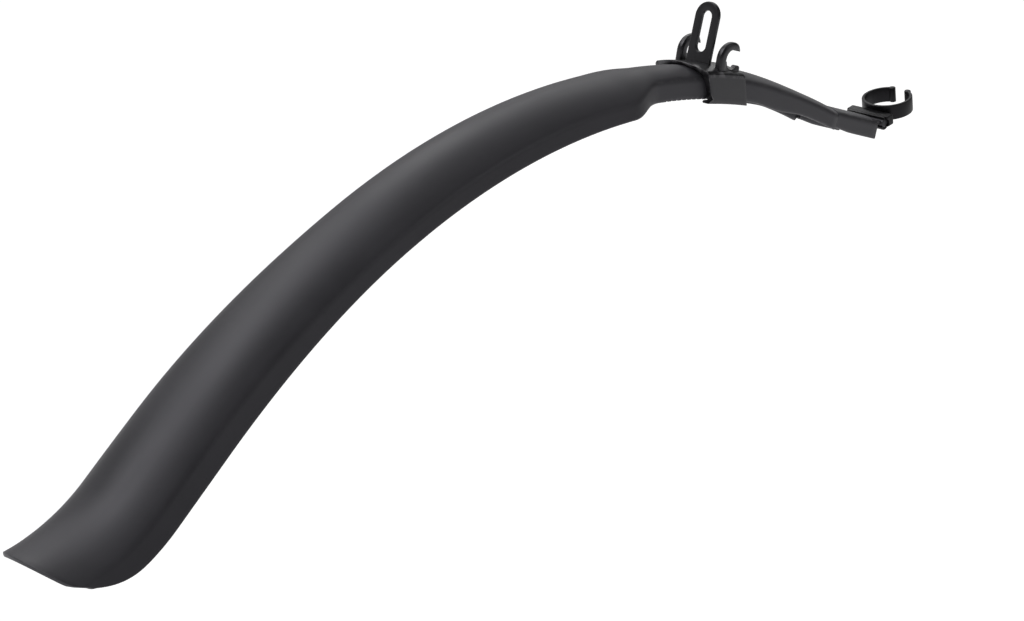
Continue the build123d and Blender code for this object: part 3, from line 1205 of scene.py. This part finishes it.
class Effect:
    """A shader node group that puts out masks, values or heights for the finishes."""

    def __init__(self, name: str) -> None:
        """Starts an empty group.

        Args:
            name: Name of the group.
        """
        self.tree = bpy.data.node_groups.new(name, "ShaderNodeTree")
        self.entry = self.tree.nodes.new("NodeGroupInput")
        self.exit = self.tree.nodes.new("NodeGroupOutput")

    def setting(self, name: str, value: float) -> Socket:
        """Adds a named input with its usual value and gives its socket inside the group.

        Args:
            name: Name of the input.
            value: Its usual value.

        Returns:
            The socket inside the group.
        """
        socket = self.tree.interface.new_socket(name, in_out="INPUT", socket_type="NodeSocketFloat")
        socket.default_value = value
        return self.entry.outputs[name]

    def result(self, name: str, source: Socket) -> None:
        """Adds a named output and feeds it."""
        self.tree.interface.new_socket(name, in_out="OUTPUT", socket_type="NodeSocketFloat")
        self.tree.links.new(source, self.exit.inputs[name])

    def node(self, kind: str, **settings: object) -> bpy.types.Node:
        """Adds a node with its properties set.

        Args:
            kind: Type of the node.
            settings: Properties by name.

        Returns:
            The node.
        """
        node = self.tree.nodes.new(kind)
        for name, value in settings.items():
            setattr(node, name, value)
        return node

    def link(self, source: Socket, node: bpy.types.Node, socket: str | int) -> None:
        """Links a socket to a node's input."""
        self.tree.links.new(source, node.inputs[socket])

    def maths(self, operation: str, *terms: Socket | float) -> Socket:
        """Adds a Math node.

        Args:
            operation: What it does.
            terms: Sockets or numbers that it takes.

        Returns:
            Its result.
        """
        node = self.node("ShaderNodeMath", operation=operation)
        for index, term in enumerate(terms):
            if isinstance(term, Socket):
                self.link(term, node, index)
            else:
                node.inputs[index].default_value = term
        return node.outputs[0]

    def blend(self, first: Socket, other: Socket, share: float) -> Socket:
        """Adds two values by shares that make 1.

        Args:
            first: Value with the given share.
            other: Value with the rest.
            share: Share of the first.

        Returns:
            The sum.
        """
        rest = self.maths("MULTIPLY", other, 1 - share)
        return self.maths("ADD", self.maths("MULTIPLY", first, share), rest)

    def contrast(self, value: Socket, low: float, high: float) -> Socket:
        """Spreads a value smoothly to the range from 0 to 1.

        Args:
            value: Value to spread.
            low: Where it becomes 0.
            high: Where it becomes 1.

        Returns:
            The spread value.
        """
        spread = self.node("ShaderNodeMapRange", interpolation_type="SMOOTHSTEP")
        self.link(value, spread, "Value")
        spread.inputs["From Min"].default_value = low
        spread.inputs["From Max"].default_value = high
        return spread.outputs["Result"]

    def noise(self, scale: Socket | float, detail: float, stretch: Vector) -> Socket:
        """Adds noise on the piece's own coordinates.

        Args:
            scale: Grains per metre.
            detail: Octaves.
            stretch: How much finer it is along each axis.

        Returns:
            Its value.
        """
        place = self.node("ShaderNodeTexCoord")
        turn = self.node("ShaderNodeMapping")
        turn.inputs["Scale"].default_value = stretch
        self.link(place.outputs["Object"], turn, "Vector")
        noise = self.node("ShaderNodeTexNoise")
        noise.inputs["Detail"].default_value = detail
        self.link(turn.outputs["Vector"], noise, "Vector")
        if isinstance(scale, Socket):
            self.link(scale, noise, "Scale")
        else:
            noise.inputs["Scale"].default_value = scale
        return noise.outputs["Fac"]


EVEN = Vector((1, 1, 1))
STREAKED = Vector((0.25, 2.5, 0.25))
FINE_SCALE = 1.7
STREAK_SCALE = 3.0
PEBBLE_SHARE = 0.6
CLOUD_SHARE = 0.7
CLOUD_RANGE = (0.34, 0.66)
RIM_BREAK_RANGE = (0.4, 0.62)


def mould_grain() -> bpy.types.NodeTree:
    """Builds the fine pebbled grain that an etched mould leaves.

    Returns:
        The node group.
    """
    effect = Effect("mould_grain")
    size = effect.setting("Grains per metre", 1500.0)
    place = effect.node("ShaderNodeTexCoord")
    cells = effect.node("ShaderNodeTexVoronoi", feature="SMOOTH_F1")
    effect.link(place.outputs["Object"], cells, "Vector")
    effect.link(size, cells, "Scale")
    fine = effect.noise(effect.maths("MULTIPLY", size, FINE_SCALE), 2.0, EVEN)
    pebble = effect.maths("SUBTRACT", 1.0, cells.outputs["Distance"])
    effect.result("Height", effect.blend(pebble, fine, PEBBLE_SHARE))
    return effect.tree


def handling() -> bpy.types.NodeTree:
    """Builds the uneven sheen of a handled moulding: broad cloudy patches and faint wiped streaks.

    Returns:
        The node group.
    """
    effect = Effect("handling")
    patch = effect.setting("Patches per metre", 22.0)
    clouds = effect.noise(patch, 4.0, EVEN)
    streaks = effect.noise(effect.maths("MULTIPLY", patch, STREAK_SCALE), 3.0, STREAKED)
    effect.result("Mask", effect.contrast(effect.blend(clouds, streaks, CLOUD_SHARE), *CLOUD_RANGE))
    return effect.tree


def edge_wear_and_highlight() -> bpy.types.NodeTree:
    """Builds the broken, paler line along the rims, from the piece's own rim attribute: edge wear, and on
    the bracket a painted highlight.

    Returns:
        The node group.
    """
    effect = Effect("edge_wear_and_highlight")
    rim_breaks = effect.setting("Rim breaks per metre", 260.0)
    rim = effect.node("ShaderNodeAttribute", attribute_name=RIM)
    # Noise breaks up the rim line: chipped wear, and on the bracket a broken painted highlight.
    broken = effect.contrast(effect.noise(rim_breaks, 5.0, EVEN), *RIM_BREAK_RANGE)
    effect.result("Mask", effect.maths("MULTIPLY", rim.outputs["Fac"], broken))
    return effect.tree


def mark_rims(piece: bpy.types.Object) -> None:
    """Writes a piece's rim attribute: 1 at vertices on convex edges and 0 elsewhere.

    Args:
        piece: Finished piece.
    """
    mesh = bmesh.new()
    mesh.from_mesh(piece.data)
    marks = [0.0] * len(mesh.verts)
    for edge in mesh.edges:
        if len(edge.link_faces) == 2 and edge.calc_face_angle_signed(0.0) > RIM_ANGLE:
            for vert in edge.verts:
                marks[vert.index] = 1.0
    mesh.free()
    attribute = piece.data.attributes.new(RIM, "FLOAT", "POINT")
    attribute.data.foreach_set("value", marks)


@dataclass(frozen=True)
class Plastic:
    """A moulded plastic finish with mould grain, uneven sheen and paler rims: edge wear, and on the bracket
    a painted highlight.
    """

    name: str
    colour: tuple[float, float, float]
    # Colour of the rims: edge wear, and for the bracket a painted highlight along its rims.
    rim_wear_and_highlight: tuple[float, float, float]
    roughness: tuple[float, float]
    specular: float
    grains: float
    grain_depth: float
    patches: float
    tint: tuple[float, float, float] = (0.95, 0.935, 1.0)
    clouds: tuple[float, float] = (0.86, 1.12)
    bump: float = 0.5

    def material(self, effects: dict[str, bpy.types.NodeTree]) -> bpy.types.Material:
        """Builds the material.

        Args:
            effects: The shared node groups by name.

        Returns:
            The material.
        """
        material = bpy.data.materials.new(self.name)
        material.use_nodes = True
        nodes = material.node_tree.nodes
        links = material.node_tree.links
        shader = nodes["Principled BSDF"]
        shader.inputs["Specular IOR Level"].default_value = self.specular
        shader.inputs["Specular Tint"].default_value = (*self.tint, 1)
        groups = {}
        for name, tree in effects.items():
            groups[name] = nodes.new("ShaderNodeGroup")
            groups[name].node_tree = tree
        groups["mould_grain"].inputs["Grains per metre"].default_value = self.grains
        groups["handling"].inputs["Patches per metre"].default_value = self.patches
        cloudy = nodes.new("ShaderNodeMix")
        cloudy.data_type = "RGBA"
        links.new(groups["handling"].outputs["Mask"], cloudy.inputs["Factor"])
        for socket, factor in zip("AB", self.clouds):
            cloudy.inputs[socket].default_value = (*(part * factor for part in self.colour), 1)
        # Paler colour along the rims: edge wear, and on the bracket a painted highlight.
        wear_and_highlight_colour = nodes.new("ShaderNodeMix")
        wear_and_highlight_colour.data_type = "RGBA"
        links.new(groups["edge_wear_and_highlight"].outputs["Mask"], wear_and_highlight_colour.inputs["Factor"])
        links.new(cloudy.outputs["Result"], wear_and_highlight_colour.inputs["A"])
        wear_and_highlight_colour.inputs["B"].default_value = (*self.rim_wear_and_highlight, 1)
        links.new(wear_and_highlight_colour.outputs["Result"], shader.inputs["Base Color"])
        sheen = nodes.new("ShaderNodeMapRange")
        links.new(groups["handling"].outputs["Mask"], sheen.inputs["Value"])
        sheen.inputs["To Min"].default_value = self.roughness[0]
        sheen.inputs["To Max"].default_value = self.roughness[1]
        links.new(sheen.outputs["Result"], shader.inputs["Roughness"])
        bump = nodes.new("ShaderNodeBump")
        bump.inputs["Strength"].default_value = self.bump
        bump.inputs["Distance"].default_value = self.grain_depth
        links.new(groups["mould_grain"].outputs["Height"], bump.inputs["Height"])
        links.new(bump.outputs["Normal"], shader.inputs["Normal"])
        return material


@dataclass(frozen=True)
class Skylight:
    """A broad and soft studio light from one direction, given by its turn from X and its height."""

    name: str
    turn: float
    height: float
    strength: float
    spread: float = radians(36)

    def build(self) -> bpy.types.Object:
        """Adds the lamp, facing the mudguard.

        Returns:
            The lamp.
        """
        light = bpy.data.lights.new(self.name, "SUN")
        light.energy = self.strength
        light.angle = self.spread
        lamp = bpy.data.objects.new(self.name, light)
        bpy.context.scene.collection.objects.link(lamp)
        turn = radians(self.turn)
        height = radians(self.height)
        towards = Vector((cos(height) * cos(turn), cos(height) * sin(turn), sin(height)))
        lamp.rotation_euler = towards.to_track_quat("Z", "Y").to_euler()
        return lamp


@dataclass
class Studio:
    """Camera at the photograph's angle, white ground and soft light from behind."""

    camera_place: tuple[float, float, float] = (-1.09609, -0.85541, 0.10431)
    camera_ahead: tuple[float, float, float] = (0.73884, 0.64684, -0.18896)
    camera_up: tuple[float, float, float] = (0.04221, 0.23543, 0.97097)
    focal_pixels: float = 2639.0
    image_width: int = 1024
    sensor: float = 36.0
    floor_drop: float = 0.3
    floor_size: float = 40.0
    floor_colour: float = 0.8
    floor_roughness: float = 0.9
    floor_lift: float = 0.48
    sight: float = 100.0
    wall: float = 0.35
    ceiling: float = 0.03
    wall_top: tuple[float, float] = (0.12, 0.42)

    def build(self) -> None:
        """Adds the camera, the floor, the world and the lamps."""
        self.add_camera()
        self.add_floor()
        self.add_world()
        for lamp in LAMPS:
            lamp.build()
        bpy.context.scene.view_settings.view_transform = "Standard"

    def add_camera(self) -> None:
        """Adds the camera and makes it the scene's own."""
        data = bpy.data.cameras.new("photo_camera")
        data.sensor_fit = "HORIZONTAL"
        data.sensor_width = self.sensor
        data.lens = self.focal_pixels / self.image_width * self.sensor
        data.clip_end = self.sight
        camera = bpy.data.objects.new("photo_camera", data)
        bpy.context.scene.collection.objects.link(camera)
        back = -Vector(self.camera_ahead).normalized()
        right = Vector(self.camera_up).cross(back).normalized()
        up = back.cross(right)
        turn = Matrix((right, up, back)).transposed().to_4x4()
        camera.matrix_world = Matrix.Translation(self.camera_place) @ turn
        bpy.context.scene.camera = camera

    def add_floor(self) -> None:
        """Adds the pale floor, white to the eye and in reflections, with the mudguard's shadow on it."""
        deselect()
        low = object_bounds()[0]
        bpy.ops.mesh.primitive_plane_add(size=self.floor_size, location=(0, 0, low.z - self.floor_drop))
        floor = bpy.context.object
        floor.name = "floor"
        floor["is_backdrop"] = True
        material = bpy.data.materials.new("floor_white")
        material.use_nodes = True
        nodes = material.node_tree.nodes
        links = material.node_tree.links
        shader = nodes["Principled BSDF"]
        shader.inputs["Base Color"].default_value = (*[self.floor_colour] * 3, 1)
        shader.inputs["Roughness"].default_value = self.floor_roughness
        shader.inputs["Specular IOR Level"].default_value = 0.0
        floor.data.materials.append(material)
        glow = nodes.new("ShaderNodeEmission")
        path = nodes.new("ShaderNodeLightPath")
        seen = path.outputs["Is Camera Ray"]
        for name in ("Is Glossy Ray", "Is Transmission Ray"):
            either = nodes.new("ShaderNodeMath")
            either.operation = "MAXIMUM"
            links.new(seen, either.inputs[0])
            links.new(path.outputs[name], either.inputs[1])
            seen = either.outputs[0]
        lift = nodes.new("ShaderNodeMath")
        lift.operation = "MULTIPLY"
        links.new(seen, lift.inputs[0])
        lift.inputs[1].default_value = self.floor_lift
        links.new(lift.outputs[0], glow.inputs["Strength"])
        both = nodes.new("ShaderNodeAddShader")
        links.new(shader.outputs[0], both.inputs[0])
        links.new(glow.outputs[0], both.inputs[1])
        links.new(both.outputs[0], nodes["Material Output"].inputs["Surface"])

    def add_world(self) -> None:
        """Adds the room: pale walls low down and a dim ceiling."""
        world = bpy.data.worlds.new("studio_world")
        bpy.context.scene.world = world
        world.use_nodes = True
        nodes = world.node_tree.nodes
        links = world.node_tree.links
        place = nodes.new("ShaderNodeTexCoord")
        split = nodes.new("ShaderNodeSeparateXYZ")
        links.new(place.outputs["Generated"], split.inputs[0])
        fade = nodes.new("ShaderNodeMapRange")
        fade.interpolation_type = "SMOOTHSTEP"
        links.new(split.outputs["Z"], fade.inputs["Value"])
        fade.inputs["From Min"].default_value = self.wall_top[0]
        fade.inputs["From Max"].default_value = self.wall_top[1]
        fade.inputs["To Min"].default_value = self.wall
        fade.inputs["To Max"].default_value = self.ceiling
        links.new(fade.outputs["Result"], nodes["Background"].inputs["Strength"])
        nodes["Background"].inputs["Color"].default_value = (1, 1, 1, 1)


LAMPS = (
    Skylight("tail_key", 150, 40, 1.06),
    Skylight("back_key", 120, 55, 0.66),
    Skylight("far_light", 75, 40, 0.42),
    Skylight("ahead_light", 45, 40, 0.27),
    Skylight("ahead_fill", 20, 25, 0.18),
    Skylight("right_fill", 300, 40, 0.33),
    Skylight("top_fill", 0, 85, 0.15),
)
BLADE_PLASTIC = Plastic(
    name="blade_satin",
    colour=(0.0298, 0.0290, 0.0335),
    rim_wear_and_highlight=(0.05, 0.049, 0.052),
    roughness=(0.46, 0.54),
    specular=0.5,
    grains=1500.0,
    grain_depth=0.00004,
    patches=22.0,
)
BRACKET_PLASTIC = Plastic(
    name="bracket_satin",
    colour=(0.010, 0.0098, 0.011),
    # Painted highlight along the bracket's rims, paler than wear alone would be.
    rim_wear_and_highlight=(0.11, 0.108, 0.113),
    roughness=(0.27, 0.33),
    specular=0.42,
    grains=2200.0,
    grain_depth=0.00002,
    patches=60.0,
)
CLIP_PLASTIC = Plastic(
    name="clip_satin_shaded",
    # The fitting plastic's own black, set darker here than on the bracket as painted shade over the whole
    # clip.
    colour=(0.006, 0.0059, 0.0066),
    rim_wear_and_highlight=(0.03, 0.0295, 0.031),
    roughness=(0.34, 0.42),
    specular=0.2,
    grains=2200.0,
    grain_depth=0.00002,
    patches=60.0,
)


def main() -> None:
    """Builds the pieces and the studio in order."""
    logging.basicConfig(level=logging.INFO, format="%(message)s")
    blade = Blade()
    effects = {"mould_grain": mould_grain(), "handling": handling(), "edge_wear_and_highlight": edge_wear_and_highlight()}
    blade_finish = BLADE_PLASTIC.material(effects)
    bracket_finish = BRACKET_PLASTIC.material(effects)
    clip_finish = CLIP_PLASTIC.material(effects)
    dress(blade.build(), Body.BLADE, "blade", blade_finish)
    dress(Bracket(blade).build(), Body.BRACKET, "bridge_bracket", bracket_finish)
    dress(Clip(blade).build(), Body.CLIP, "seat_tube_clip", clip_finish)
    Studio().build()


if __name__ == "__main__":
    main()
